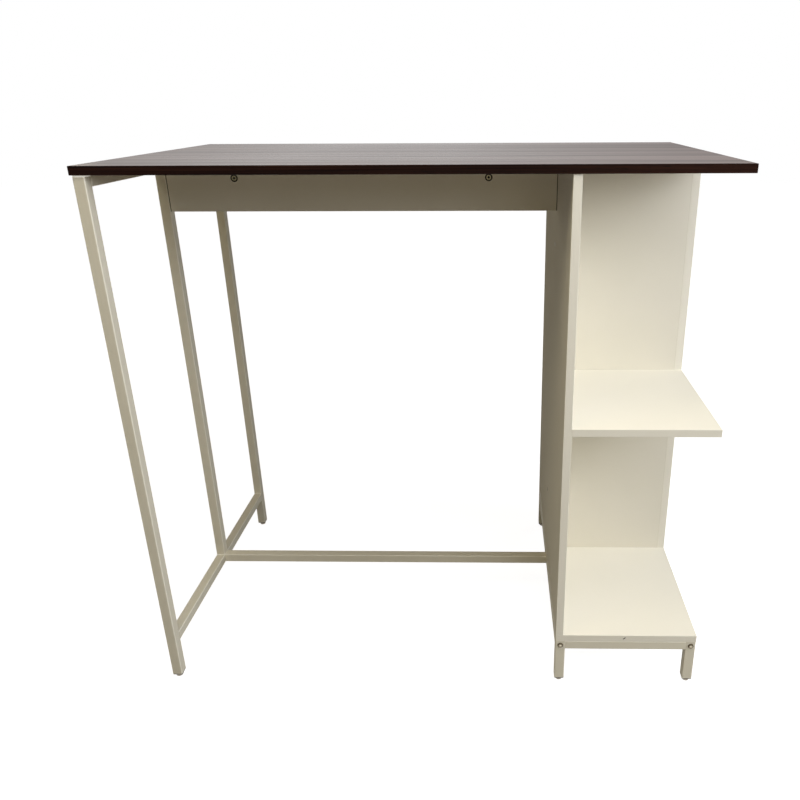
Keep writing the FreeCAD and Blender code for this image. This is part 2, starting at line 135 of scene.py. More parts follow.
def darkTopFinish(node):
    # melamine-faced particle board with an espresso wood print pressed in: a dark, satin sheet with fine
    # streaks along the top, which turns pale grey at a flat angle because it mirrors what is around it
    look = darkTopLook
    finish = emptyFinish("espressoWoodMelamine")
    tree = finish.node_tree
    place = addNode(tree, "ShaderNodeTexCoord").outputs["Object"]
    strayMap = addNode(tree, "ShaderNodeMapping", {}, {
        "Vector": place,
        "Scale": (perMetre(look["wanderLength"]), perMetre(look["wanderWidth"]), perMetre(look["wanderWidth"]))})
    stray = addNode(tree, "ShaderNodeTexNoise", {}, {"Vector": strayMap.outputs[0], "Scale": 1.0, "Detail": 2.0})
    # the noise swings by a half either way, so it counts twice
    strayed = addNode(tree, "ShaderNodeVectorMath", {"operation": "MULTIPLY_ADD"}, {
        0: stray.outputs["Color"], 1: (0.0, look["wander"] * metre * 2, 0.0), 2: place}).outputs[0]
    layers = {}
    for name, length, width, detail in (
            ("band", look["bandLength"], look["bandWidth"], 3.0),
            ("streak", look["streakLength"], look["streakWidth"], 5.0),
            ("pore", look["poreLength"], look["poreWidth"], 2.0)):
        scaled = addNode(tree, "ShaderNodeMapping", {}, {
            "Vector": strayed, "Scale": (perMetre(length), perMetre(width), perMetre(width))})
        layers[name] = addNode(tree, "ShaderNodeTexNoise", {}, {
            "Vector": scaled.outputs[0], "Scale": 1.0, "Detail": detail, "Roughness": 0.6}).outputs[0]
    tone = addNode(tree, "ShaderNodeMath", {"operation": "MULTIPLY_ADD"}, {
        0: layers["band"], 1: look["bandPart"], 2: addNode(tree, "ShaderNodeMath", {"operation": "MULTIPLY"}, {
            0: layers["streak"], 1: look["streakPart"]}).outputs[0]}).outputs[0]
    low = addNode(tree, "ShaderNodeMapRange", {}, {
        "Value": tone, "From Min": look["deepAt"], "From Max": look["middleAt"]})
    high = addNode(tree, "ShaderNodeMapRange", {}, {
        "Value": tone, "From Min": look["middleAt"], "From Max": look["lightAt"]})
    pore = addNode(tree, "ShaderNodeMapRange", {}, {
        "Value": layers["pore"], "From Min": look["poreFrom"], "From Max": look["poreFull"]})
    darkToMiddle = addNode(tree, "ShaderNodeMix", {"data_type": "RGBA"}, {
        0: low.outputs[0], 6: toLinear(look["deep"]), 7: toLinear(look["middle"])})
    middleToLight = addNode(tree, "ShaderNodeMix", {"data_type": "RGBA"}, {
        0: high.outputs[0], 6: darkToMiddle.outputs[2], 7: toLinear(look["light"])})
    withPores = addNode(tree, "ShaderNodeMix", {"data_type": "RGBA"}, {
        0: pore.outputs[0], 6: middleToLight.outputs[2], 7: toLinear(look["pore"])})
    bandShare, seam = boardMarks(tree, place, node, look["band"])
    alongTop = addNode(tree, "ShaderNodeSeparateXYZ", {}, {0: place}).outputs[0]
    # a painted highlight lightens the front edge towards the right, over the span of the rubbed ends; the print's
    # fine lines ride on it
    paintedHighlightToRight = addNode(tree, "ShaderNodeMapRange", {}, {
        "Value": alongTop, "From Min": look["rubbedAndHighlightFrom"] * metre, "From Max": look["rubbedAndHighlightTo"] * metre})
    lineMap = addNode(tree, "ShaderNodeMapping", {}, {
        "Vector": place,
        "Scale": (perMetre(look["lineLength"]), perMetre(look["lineWidth"]), perMetre(look["lineWidth"]))})
    line = addNode(tree, "ShaderNodeTexNoise", {}, {"Vector": lineMap.outputs[0], "Scale": 1.0, "Detail": 1.0})
    lined = addNode(tree, "ShaderNodeMapRange", {"clamp": False}, {
        "Value": line.outputs[0], "To Min": -look["lineDepth"], "To Max": look["lineDepth"]})
    edgePrintAndPaintedHighlight = addNode(tree, "ShaderNodeMath", {"operation": "ADD"}, {0: paintedHighlightToRight.outputs[0], 1: lined.outputs[0]})
    edgeShade = addNode(tree, "ShaderNodeMix", {"data_type": "RGBA", "clamp_factor": False}, {
        0: edgePrintAndPaintedHighlight.outputs[0], 6: toLinear(look["edgeShade"]), 7: toLinear(look["edgePaintedHighlightRight"])})
    darker = addNode(tree, "ShaderNodeMix", {"data_type": "RGBA", "blend_type": "MULTIPLY"}, {
        0: bandShare, 6: withPores.outputs[2], 7: edgeShade.outputs[2]})
    colour = addNode(tree, "ShaderNodeMix", {"data_type": "RGBA"}, {
        0: seam, 6: darker.outputs[2], 7: toLinear(look["pore"])})
    height = addNode(tree, "ShaderNodeMath", {"operation": "SUBTRACT"}, {0: layers["streak"], 1: pore.outputs[0]})
    relief = addNode(tree, "ShaderNodeBump", {}, {
        "Strength": look["reliefStrength"], "Distance": look["reliefHeight"] * metre, "Height": height.outputs[0]})
    fromSpot = addNode(tree, "ShaderNodeMath", {"operation": "ABSOLUTE"}, {
        0: addNode(tree, "ShaderNodeMath", {"operation": "SUBTRACT"}, {
            0: alongTop, 1: look["brightSpot"] * metre}).outputs[0]})
    rubbed = addNode(tree, "ShaderNodeMapRange", {}, {
        "Value": fromSpot.outputs[0], "From Min": look["rubbedAndHighlightFrom"] * metre, "From Max": look["rubbedAndHighlightTo"] * metre,
        "To Min": look["roughness"], "To Max": look["roughness"] + look["rubbed"]})
    swing = addNode(tree, "ShaderNodeMapRange", {}, {
        "Value": layers["band"], "From Min": look["swingFrom"], "From Max": look["swingTo"],
        "To Min": look["sheenSwing"], "To Max": -look["sheenSwing"]})
    roughness = addNode(tree, "ShaderNodeMath", {"operation": "ADD"}, {0: rubbed.outputs[0], 1: swing.outputs[0]})
    shine = addNode(tree, "ShaderNodeMapRange", {}, {
        "Value": bandShare, "To Min": look["shine"], "To Max": look["edgeShine"]})
    shader = addNode(tree, "ShaderNodeBsdfPrincipled", {}, {
        "Base Color": colour.outputs[2], "Roughness": roughness.outputs[0], "Normal": relief.outputs[0],
        "IOR": resinIor, "Specular IOR Level": shine.outputs[0]})
    addNode(tree, "ShaderNodeOutputMaterial", {}, {"Surface": shader.outputs[0]})
    return finish


glueWidth = 0.35  # of the line beside the edge band; real ones are 0.1: drawn wider
broadFrom = 0.9  # a broad face's normal is this much along the thickness, or more


def boardMarks(tree, place, node, band):
    # where the edge band shows on a board. Each coordinate is centred and divided by the board's half size,
    # so the board's edge is at 1. The broad faces are those whose normal is along the thickness; on them the
    # band's lip is everything past 1 - band / half, and the glue line lies there. The rest is edge
    low, high = (np.array(corner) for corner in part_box(node))
    half = (high - low) / 2
    middle = (high + low) / 2
    thin = int(np.argmin(half))
    centred = addNode(tree, "ShaderNodeMapping", {}, {
        "Vector": place, "Location": tuple(float(-m / h) for m, h in zip(middle, half)),
        "Scale": tuple(float(1 / h) for h in half)})
    axes = addNode(tree, "ShaderNodeSeparateXYZ", {}, {0: centred.outputs[0]})
    lips, lines = [], []
    for axis in {0, 1, 2} - {thin}:
        along = addNode(tree, "ShaderNodeMath", {"operation": "ABSOLUTE"}, {0: axes.outputs[axis]}).outputs[0]
        inner = float(1 - band * metre / half[axis])
        lips.append(addNode(tree, "ShaderNodeMath", {"operation": "GREATER_THAN"}, {0: along, 1: inner}).outputs[0])
        lines.append(addNode(tree, "ShaderNodeMath", {"operation": "COMPARE"}, {
            0: along, 1: inner, 2: float(glueWidth / 2 * metre / half[axis])}).outputs[0])
    normal = addNode(tree, "ShaderNodeSeparateXYZ", {}, {0: addNode(tree, "ShaderNodeTexCoord").outputs["Normal"]})
    facing = addNode(tree, "ShaderNodeMath", {"operation": "ABSOLUTE"}, {0: normal.outputs[thin]})
    broad = addNode(tree, "ShaderNodeMath", {"operation": "GREATER_THAN"}, {0: facing.outputs[0], 1: broadFrom})
    eitherLip = addNode(tree, "ShaderNodeMath", {"operation": "MAXIMUM"}, {0: lips[0], 1: lips[1]})
    eitherLine = addNode(tree, "ShaderNodeMath", {"operation": "MAXIMUM"}, {0: lines[0], 1: lines[1]})
    edge = addNode(tree, "ShaderNodeMath", {"operation": "SUBTRACT"}, {0: 1.0, 1: broad.outputs[0]})
    bandShare = addNode(tree, "ShaderNodeMath", {"operation": "MAXIMUM"}, {
        0: eitherLip.outputs[0], 1: edge.outputs[0]})
    seam = addNode(tree, "ShaderNodeMath", {"operation": "MULTIPLY"}, {
        0: eitherLine.outputs[0], 1: broad.outputs[0]})
    return bandShare.outputs[0], seam.outputs[0]


creamBoardLook = {
    "face": "#ebe6d9", "faceShade": "#e6e2d3", "bandColour": "#efebde", "seam": "#b0a893", "seamDepth": 0.5,
    "cloud": 160.0,                                 # slow change of tone over the sheet
    "pebble": 1.8,                                  # real grit of the press plate is 0.3: drawn coarser
    "reliefHeight": 0.02, "reliefStrength": 0.3,
    "roughness": 0.7, "roughnessSwing": (-0.03, 0.04), "bandRoughness": 0.55, "band": 1.4, "shine": 0.04,
    "nickPlace": (400.0, -297.0, 113.0), "nickSize": (4.0, 2.0, 1.4), "nickTurn": 40.0, "nickColour": "#2f291f",
    "nickFull": 0.6, "nickEnd": 1.1,                # shares of its size at which it is full and has faded out
    # openJointShade is the colour of the painted shade in the apron's end joints
    "openJoint": 1.3, "openJointShade": "#2d2617",  # the apron's ends; the gap itself is 0.6: drawn wider
}


def creamBoardFinish(node):
    # melamine-faced particle board, plain cream, with an ironed-on plastic edge band: an even, closed satin
    # sheet with a very fine pebble; the band is a shade lighter and shinier, with a hairline of glue beside it
    look = creamBoardLook
    finish = emptyFinish("creamMelamine_" + node)
    tree = finish.node_tree
    place = addNode(tree, "ShaderNodeTexCoord").outputs["Object"]
    cloud = addNode(tree, "ShaderNodeTexNoise", {}, {
        "Vector": place, "Scale": perMetre(look["cloud"]), "Detail": 2.0}).outputs[0]
    pebble = addNode(tree, "ShaderNodeTexNoise", {}, {
        "Vector": place, "Scale": perMetre(look["pebble"]), "Detail": 2.0, "Roughness": 0.5}).outputs[0]
    sheet = addNode(tree, "ShaderNodeMix", {"data_type": "RGBA"}, {
        0: cloud, 6: toLinear(look["face"]), 7: toLinear(look["faceShade"])})
    bandShare, seam = boardMarks(tree, place, node, look["band"])
    banded = addNode(tree, "ShaderNodeMix", {"data_type": "RGBA"}, {
        0: bandShare, 6: sheet.outputs[2], 7: toLinear(look["bandColour"])})
    seamShare = addNode(tree, "ShaderNodeMath", {"operation": "MULTIPLY"}, {0: seam, 1: look["seamDepth"]})
    colour = addNode(tree, "ShaderNodeMix", {"data_type": "RGBA"}, {
        0: seamShare.outputs[0], 6: banded.outputs[2], 7: toLinear(look["seam"])}).outputs[2]
    if node == "bottom_board":
        # a nick in the band of its front edge: inside a small turned ellipsoid the dark core shows
        nickMap = addNode(tree, "ShaderNodeMapping", {"vector_type": "TEXTURE"}, {
            "Vector": place, "Location": tuple(v * metre for v in look["nickPlace"]),
            "Rotation": (0.0, float(np.radians(-look["nickTurn"])), 0.0),
            "Scale": tuple(v * metre for v in look["nickSize"])})
        away = addNode(tree, "ShaderNodeVectorMath", {"operation": "LENGTH"}, {0: nickMap.outputs[0]})
        nick = addNode(tree, "ShaderNodeMapRange", {}, {
            "Value": away.outputs["Value"], "From Min": look["nickFull"], "From Max": look["nickEnd"],
            "To Min": 1.0, "To Max": 0.0})
        colour = addNode(tree, "ShaderNodeMix", {"data_type": "RGBA"}, {
            0: nick.outputs[0], 6: colour, 7: toLinear(look["nickColour"])}).outputs[2]
    if node == "apron":
        # its ends only touch the leg and the side panel; in each joint stands a dark line of painted shade
        low, high = (corner[0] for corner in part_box(node))
        along = addNode(tree, "ShaderNodeSeparateXYZ", {}, {0: place}).outputs[0]
        fromMiddle = addNode(tree, "ShaderNodeMath", {"operation": "SUBTRACT"}, {
            0: along, 1: float(low + high) / 2})
        away = addNode(tree, "ShaderNodeMath", {"operation": "ABSOLUTE"}, {0: fromMiddle.outputs[0]})
        paintedShadeJoint = addNode(tree, "ShaderNodeMath", {"operation": "GREATER_THAN"}, {
            0: away.outputs[0], 1: float(high - low) / 2 - look["openJoint"] * metre})
        colour = addNode(tree, "ShaderNodeMix", {"data_type": "RGBA"}, {
            0: paintedShadeJoint.outputs[0], 6: colour, 7: toLinear(look["openJointShade"])}).outputs[2]
    relief = addNode(tree, "ShaderNodeBump", {}, {
        "Strength": look["reliefStrength"], "Distance": look["reliefHeight"] * metre, "Height": pebble})
    sheetRoughness = addNode(tree, "ShaderNodeMapRange", {}, {
        "Value": pebble, "From Min": noiseLow, "From Max": noiseHigh,
        "To Min": look["roughness"] + look["roughnessSwing"][0],
        "To Max": look["roughness"] + look["roughnessSwing"][1]})
    roughness = addNode(tree, "ShaderNodeMix", {"data_type": "FLOAT"}, {
        0: bandShare, 2: sheetRoughness.outputs[0], 3: look["bandRoughness"]})
    shader = addNode(tree, "ShaderNodeBsdfPrincipled", {}, {
        "Base Color": colour, "Roughness": roughness.outputs[0], "Normal": relief.outputs[0],
        "IOR": resinIor, "Specular IOR Level": look["shine"]})
    addNode(tree, "ShaderNodeOutputMaterial", {}, {"Surface": shader.outputs[0]})
    return finish


creamSteelLook = {
    # corner is the colour of a painted highlight along the tubes' rounded corners
    "paint": "#e7e2d1", "paintShade": "#ded8c6", "corner": "#faf6ea",
    "cornerFull": 0.8, "cornerNone": 0.995,         # largest axis of the normal at a corner, and on a flat face
    "cloud": 90.0,                                  # slow change of tone along the tube
    "peel": 2.2,                                    # real orange peel is 0.5 to 1: drawn coarser
    "reliefHeight": 0.03, "reliefStrength": 0.4, "roughness": 0.58, "roughnessSwing": (-0.03, 0.04), "shine": 0.08,
}


def creamSteelFinish():
    # powder-coated steel tube, cream: a thick semi-gloss skin with fine orange peel. A painted highlight makes the
    # tube's rounded corners a shade lighter. A corner is where no axis of the normal is near 1
    look = creamSteelLook
    finish = emptyFinish("creamPowderCoatedSteel")
    tree = finish.node_tree
    place = addNode(tree, "ShaderNodeTexCoord").outputs["Object"]
    cloud = addNode(tree, "ShaderNodeTexNoise", {}, {
        "Vector": place, "Scale": perMetre(look["cloud"]), "Detail": 2.0}).outputs[0]
    peel = addNode(tree, "ShaderNodeTexNoise", {}, {
        "Vector": place, "Scale": perMetre(look["peel"]), "Detail": 1.0}).outputs[0]
    coat = addNode(tree, "ShaderNodeMix", {"data_type": "RGBA"}, {
        0: cloud, 6: toLinear(look["paint"]), 7: toLinear(look["paintShade"])})
    turned = addNode(tree, "ShaderNodeVectorMath", {"operation": "ABSOLUTE"}, {
        0: addNode(tree, "ShaderNodeTexCoord").outputs["Normal"]})
    axes = addNode(tree, "ShaderNodeSeparateXYZ", {}, {0: turned.outputs[0]})
    widest = addNode(tree, "ShaderNodeMath", {"operation": "MAXIMUM"}, {
        0: addNode(tree, "ShaderNodeMath", {"operation": "MAXIMUM"}, {
            0: axes.outputs[0], 1: axes.outputs[1]}).outputs[0], 1: axes.outputs[2]})
    # share of the painted highlight: full on the rounded corners, none on the flat faces
    cornerPaintedHighlightShare = addNode(tree, "ShaderNodeMapRange", {}, {
        "Value": widest.outputs[0], "From Min": look["cornerFull"], "From Max": look["cornerNone"],
        "To Min": 1.0, "To Max": 0.0})
    colour = addNode(tree, "ShaderNodeMix", {"data_type": "RGBA"}, {
        0: cornerPaintedHighlightShare.outputs[0], 6: coat.outputs[2], 7: toLinear(look["corner"])})
    relief = addNode(tree, "ShaderNodeBump", {}, {
        "Strength": look["reliefStrength"], "Distance": look["reliefHeight"] * metre, "Height": peel})
    roughness = addNode(tree, "ShaderNodeMapRange", {}, {
        "Value": peel, "From Min": noiseLow, "From Max": noiseHigh,
        "To Min": look["roughness"] + look["roughnessSwing"][0],
        "To Max": look["roughness"] + look["roughnessSwing"][1]})
    shader = addNode(tree, "ShaderNodeBsdfPrincipled", {}, {
        "Base Color": colour.outputs[2], "Roughness": roughness.outputs[0], "Normal": relief.outputs[0],
        "IOR": resinIor, "Specular IOR Level": look["shine"]})
    addNode(tree, "ShaderNodeOutputMaterial", {}, {"Surface": shader.outputs[0]})
    return finish


metalLooks = {
    "zincCasting": {"metal": "#a8a6a2", "shade": "#7f7c78", "grain": 0.9,
                    "reliefHeight": 0.04, "roughness": 0.45},
    "zincPlatedSteel": {"metal": "#c4c3bf", "shade": "#9d9b96", "grain": 1.2,
                        "reliefHeight": 0.01, "roughness": 0.3},
    "darkZincSteel": {"metal": "#7c725d", "shade": "#575040", "grain": 1.0,
                      "reliefHeight": 0.01, "roughness": 0.36},
}
metalReliefStrength = 0.4
metalRoughnessSwing = (-0.06, 0.08)


def metalFinish(name):
    # zinc die casting: grey, slightly sandy from the mould. Plated steel: smoother and paler. Screws in dark
    # zinc: the same steel with an olive-grey passivation, which dulls its shine
    look = metalLooks[name]
    finish = emptyFinish(name)
    tree = finish.node_tree
    place = addNode(tree, "ShaderNodeTexCoord").outputs["Object"]
    grain = addNode(tree, "ShaderNodeTexNoise", {}, {
        "Vector": place, "Scale": perMetre(look["grain"]), "Detail": 3.0}).outputs[0]
    colour = addNode(tree, "ShaderNodeMix", {"data_type": "RGBA"}, {
        0: grain, 6: toLinear(look["metal"]), 7: toLinear(look["shade"])})
    relief = addNode(tree, "ShaderNodeBump", {}, {
        "Strength": metalReliefStrength, "Distance": look["reliefHeight"] * metre, "Height": grain})
    roughness = addNode(tree, "ShaderNodeMapRange", {}, {
        "Value": grain, "From Min": noiseLow, "From Max": noiseHigh,
        "To Min": look["roughness"] + metalRoughnessSwing[0], "To Max": look["roughness"] + metalRoughnessSwing[1]})
    shader = addNode(tree, "ShaderNodeBsdfPrincipled", {}, {
        "Base Color": colour.outputs[2], "Metallic": 1.0, "Roughness": roughness.outputs[0],
        "Normal": relief.outputs[0]})
    addNode(tree, "ShaderNodeOutputMaterial", {}, {"Surface": shader.outputs[0]})
    return finish


plasticLooks = {
    # the last number of each is the strength of a painted glow, which the part gives off though it is no lamp
    "whitePolyethylene": {"skin": "#fefcf2", "shade": "#faf6e8", "bloom": 3.0, "roughness": 0.4,
                          "glow": 0.0, "through": 0.32},
    "darkPolyethylene": {"skin": "#3c3a38", "shade": "#2c2a28", "bloom": 2.0, "roughness": 0.5,
                         "glow": 0.0, "through": 0.0},
    "milkyNylon": {"skin": "#d6cdbf", "shade": "#c0b5a6", "bloom": 4.0, "roughness": 0.45,
                   "glow": 0.35, "through": 0.05},
}
plasticRelief = {"height": 0.02, "strength": 0.25}
plasticScatter = {"reach": 1.5, "redGreenBlue": (1.0, 0.8, 0.6)}  # how far light runs inside the nylon


def plasticFinish(name):
    # moulded plastics: white polyethylene caps, dark polyethylene inserts, and milky nylon for the feet, which
    # lets some light into its skin. Fine mould texture, no sharp shine. White caps and, faintly, the feet glow
    # with a painted light of their own, which stands in for light from behind them
    look = plasticLooks[name]
    finish = emptyFinish(name)
    tree = finish.node_tree
    place = addNode(tree, "ShaderNodeTexCoord").outputs["Object"]
    bloom = addNode(tree, "ShaderNodeTexNoise", {}, {
        "Vector": place, "Scale": perMetre(look["bloom"]), "Detail": 3.0}).outputs[0]
    colour = addNode(tree, "ShaderNodeMix", {"data_type": "RGBA"}, {
        0: bloom, 6: toLinear(look["skin"]), 7: toLinear(look["shade"])})
    relief = addNode(tree, "ShaderNodeBump", {}, {
        "Strength": plasticRelief["strength"], "Distance": plasticRelief["height"] * metre, "Height": bloom})
    shader = addNode(tree, "ShaderNodeBsdfPrincipled", {}, {
        "Base Color": colour.outputs[2], "Roughness": look["roughness"], "Normal": relief.outputs[0],
        "IOR": resinIor, "Subsurface Weight": look["glow"],
        "Subsurface Radius": plasticScatter["redGreenBlue"], "Subsurface Scale": plasticScatter["reach"] * metre,
        "Emission Color": toLinear(look["skin"]), "Emission Strength": look["through"]})
    addNode(tree, "ShaderNodeOutputMaterial", {}, {"Surface": shader.outputs[0]})
    return finish


beechLook = {"wood": "#d9b98c", "fleck": "#b98f60", "fleckSize": 1.6, "fleckWarp": 0.6,
             "fleckFrom": 0.45, "fleckFull": 0.7, "reliefHeight": 0.05, "reliefStrength": 0.4, "roughness": 0.6}


def beechFinish():
    # beech dowel: pale pinkish wood with short dark flecks, compressed and dry, so almost without shine
    look = beechLook
    finish = emptyFinish("beechWood")
    tree = finish.node_tree
    place = addNode(tree, "ShaderNodeTexCoord").outputs["Object"]
    fleck = addNode(tree, "ShaderNodeTexNoise", {}, {
        "Vector": place, "Scale": perMetre(look["fleckSize"]), "Detail": 4.0,
        "Distortion": look["fleckWarp"]}).outputs[0]
    share = addNode(tree, "ShaderNodeMapRange", {}, {
        "Value": fleck, "From Min": look["fleckFrom"], "From Max": look["fleckFull"]})
    colour = addNode(tree, "ShaderNodeMix", {"data_type": "RGBA"}, {
        0: share.outputs[0], 6: toLinear(look["wood"]), 7: toLinear(look["fleck"])})
    relief = addNode(tree, "ShaderNodeBump", {}, {
        "Strength": look["reliefStrength"], "Distance": look["reliefHeight"] * metre, "Height": fleck})
    shader = addNode(tree, "ShaderNodeBsdfPrincipled", {}, {
        "Base Color": colour.outputs[2], "Roughness": look["roughness"], "Normal": relief.outputs[0],
        "IOR": resinIor})
    addNode(tree, "ShaderNodeOutputMaterial", {}, {"Surface": shader.outputs[0]})
    return finish


slotOf = {part["node"]: part["material_slot"] for part in frame["record"]["subparts"]}
creamSteel = creamSteelFinish()
zincSteel = metalFinish("zincPlatedSteel")
roundHeadLooks = {
    # rim and centre colours are painted light: shade on the cam locks' rim and cross recess and on the bolts' rim,
    # a highlight in the bolts' middle
    "apron_cam_locks": {"name": "zincCastingPaintedShade", "disc": "#8d8569", "shade": "#79725a", "rim": "#0a0805",
                        "centre": "#0a0805", "rimFrom": 4.3, "rimFull": 5.2, "centreRadius": 2.9,
                        "grain": 0.9, "reliefHeight": 0.04, "roughness": 0.55},
    "base_bolts": {"name": "zincBoltPaintedShadeAndHighlight", "disc": "#9a9280", "shade": "#857d6b", "rim": "#4a4234",
                   "centre": "#e4dfd2", "rimFrom": 3.0, "rimFull": 4.6, "centreRadius": 2.4,
                   "grain": 0.9, "reliefHeight": 0.04, "roughness": 0.45},
}
centreCore = 0.7  # the centre's colour is full up to this share of its radius


def roundHeadFinish(node):
    # heads whose colour changes from the middle out. Zinc cam locks under the top: a painted shade makes
    # the turned-down rim and the cross recess almost black. Bolts of the base: a painted shade on the rim and
    # a painted highlight in the middle. Both go by the distance from the axis of the nearer head, at either end
    # of the box of the solids
    look = roundHeadLooks[node]
    finish = emptyFinish(look["name"])
    tree = finish.node_tree
    place = addNode(tree, "ShaderNodeTexCoord").outputs["Object"]
    flat = addNode(tree, "ShaderNodeVectorMath", {"operation": "MULTIPLY"}, {
        0: place, 1: (1.0, 0.0, 1.0)}).outputs[0]
    low, high = (np.array(corner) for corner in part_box(node))
    radius = (high[2] - low[2]) / 2
    away = [addNode(tree, "ShaderNodeVectorMath", {"operation": "DISTANCE"}, {
        0: flat, 1: (float(x), 0.0, float(low[2] + radius))}).outputs["Value"]
        for x in (low[0] + radius, high[0] - radius)]
    nearer = addNode(tree, "ShaderNodeMath", {"operation": "MINIMUM"}, {0: away[0], 1: away[1]}).outputs[0]
    rimShare = addNode(tree, "ShaderNodeMapRange", {}, {
        "Value": nearer, "From Min": look["rimFrom"] * metre, "From Max": look["rimFull"] * metre})
    centrePaintedLightShare = addNode(tree, "ShaderNodeMapRange", {}, {
        "Value": nearer, "From Min": look["centreRadius"] * metre * centreCore,
        "From Max": look["centreRadius"] * metre,
        "To Min": 1.0, "To Max": 0.0})
    grain = addNode(tree, "ShaderNodeTexNoise", {}, {
        "Vector": place, "Scale": perMetre(look["grain"]), "Detail": 3.0}).outputs[0]
    cast = addNode(tree, "ShaderNodeMix", {"data_type": "RGBA"}, {
        0: grain, 6: toLinear(look["disc"]), 7: toLinear(look["shade"])})
    rimmed = addNode(tree, "ShaderNodeMix", {"data_type": "RGBA"}, {
        0: rimShare.outputs[0], 6: cast.outputs[2], 7: toLinear(look["rim"])})
    colour = addNode(tree, "ShaderNodeMix", {"data_type": "RGBA"}, {
        0: centrePaintedLightShare.outputs[0], 6: rimmed.outputs[2], 7: toLinear(look["centre"])})
    relief = addNode(tree, "ShaderNodeBump", {}, {
        "Strength": metalReliefStrength, "Distance": look["reliefHeight"] * metre, "Height": grain})
    shader = addNode(tree, "ShaderNodeBsdfPrincipled", {}, {
        "Base Color": colour.outputs[2], "Metallic": 1.0, "Roughness": look["roughness"],
        "Normal": relief.outputs[0]})
    addNode(tree, "ShaderNodeOutputMaterial", {}, {"Surface": shader.outputs[0]})
    return finish


sharedFinishes = {
    "cream_steel": creamSteel, "white_plastic": plasticFinish("whitePolyethylene"),
    "dark_plastic": plasticFinish("darkPolyethylene"), "glide_plastic": plasticFinish("milkyNylon"),
    "zinc_casting": metalFinish("zincCasting"), "zinc_steel": zincSteel,
    "dark_steel": metalFinish("darkZincSteel"), "beech": beechFinish(),
}
for node in solids:
    if slotOf[node] == "dark_board":
        wear(node, darkTopFinish(node))
    elif slotOf[node] == "cream_board":
        wear(node, creamBoardFinish(node))
    else:
        wear(node, sharedFinishes[slotOf[node]])
for node in roundHeadLooks:
    wear(node, roundHeadFinish(node))
print("finishes on", len(solids), "solids")


weldLook = {"size": 1.9, "ripple": 1.5, "rippleDepth": 0.10, "sink": 0.4, "fullness": 1.3, "rowsPerRipple": 5,
            "profilePoints": 7, "endFall": 1.0, "endShare": 0.45,
            "edgeInset": 1.6}  # the beads stay clear of the tubes' rounded corners


def weldBead(start, end, firstNormal, secondNormal):
    # a fillet bead carried along a straight line where two faces meet. Round the profile, the distance from
    # the corner is size / (cos^p + sin^p)^(1/p): p = 1 is a flat fillet and p = 2 a quarter circle.
    # Along the line the size swells by rippleDepth in each ripple, and falls to endShare over endFall at both
    # ends, as the square root of the distance. One point sunk into the corner closes the profile
    look = weldLook
    start, end, first, second = (np.array(v, float) for v in (start, end, firstNormal, secondNormal))
    length = np.linalg.norm(end - start)
    rows = int(length / look["ripple"] * look["rowsPerRipple"]) + 1
    travel = np.linspace(0, 1, rows)
    fromEnd = np.minimum(travel, 1 - travel) * length
    size = look["size"] * (1 + look["rippleDepth"] * np.abs(np.sin(np.pi * travel * length / look["ripple"])))
    size = size * (look["endShare"] + (1 - look["endShare"]) * np.clip(fromEnd / look["endFall"], 0, 1) ** 0.5)
    angle = np.linspace(0, np.pi / 2, look["profilePoints"])
    power = look["fullness"]
    reach = (np.cos(angle) ** power + np.sin(angle) ** power) ** (-1 / power)
    outline = np.stack([np.cos(angle) * reach, np.sin(angle) * reach], axis=1)
    outline = np.vstack([outline, [-look["sink"] / look["size"]] * 2])
    centre = start + travel[:, None] * (end - start)
    offset = size[:, None, None] * (outline[None, :, :1] * first + outline[None, :, 1:] * second)
    points = (centre[:, None, :] + offset).reshape(-1, 3) * metre
    faces = gridFaces(rows, len(outline))
    if np.dot(np.cross(end - start, first), second) >= 0:
        faces = [face[::-1] for face in faces]
    return points, faces


def weldPiece(name, seams):
    # all beads of one frame as one mesh
    allPoints, allFaces, count = [], [], 0
    for seam in seams:
        points, faces = weldBead(*seam)
        allPoints.append(points)
        allFaces += [[index + count for index in face] for face in faces]
        count += len(points)
    return meshPiece(name, np.vstack(allPoints), allFaces, creamSteel, "table")


def boxMm(node):
    return [np.array(corner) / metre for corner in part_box(node)]


railLow, railHigh = boxMm("left_lower_rail")
topRailLow = boxMm("left_top_rail")[0]
middleLow, middleHigh = boxMm("left_middle_leg")
inset = weldLook["edgeInset"]
left, right = railLow[0] + inset, railHigh[0] - inset
up, down, front, rear = (0, 0, 1), (0, 0, -1), (0, -1, 0), (0, 1, 0)
legFrameSeams = []
for y, inward in ((railLow[1], rear), (railHigh[1], front)):
    legFrameSeams += [((left, y, railHigh[2]), (right, y, railHigh[2]), inward, up),
                      ((left, y, railLow[2]), (right, y, railLow[2]), inward, down),
                      ((left, y, topRailLow[2]), (right, y, topRailLow[2]), inward, down)]
for y, outward in ((middleLow[1], front), (middleHigh[1], rear)):
    legFrameSeams += [((left, y, railHigh[2]), (right, y, railHigh[2]), outward, up),
                      ((left, y, topRailLow[2]), (right, y, topRailLow[2]), outward, down)]
weldPiece("leg_frame_welds", legFrameSeams)

baseSeams = []
for rail in ("base_front_rail", "base_rear_rail"):
    low, high = boxMm(rail)
    for x, inward in ((low[0], (1, 0, 0)), (high[0], (-1, 0, 0))):
        baseSeams.append(((x, low[1] + inset, low[2]), (x, high[1] - inset, low[2]), inward, down))
weldPiece("base_welds", baseSeams)
print("weld beads:", len(legFrameSeams) + len(baseSeams))


threadLook = {"pitch": 1.0, "depth": 0.55, "chamfer": 0.8, "columns": 32, "rowsPerPitch": 8,
              "steepness": 2.6, "crest": 0.5}  # shape of the thread's wave


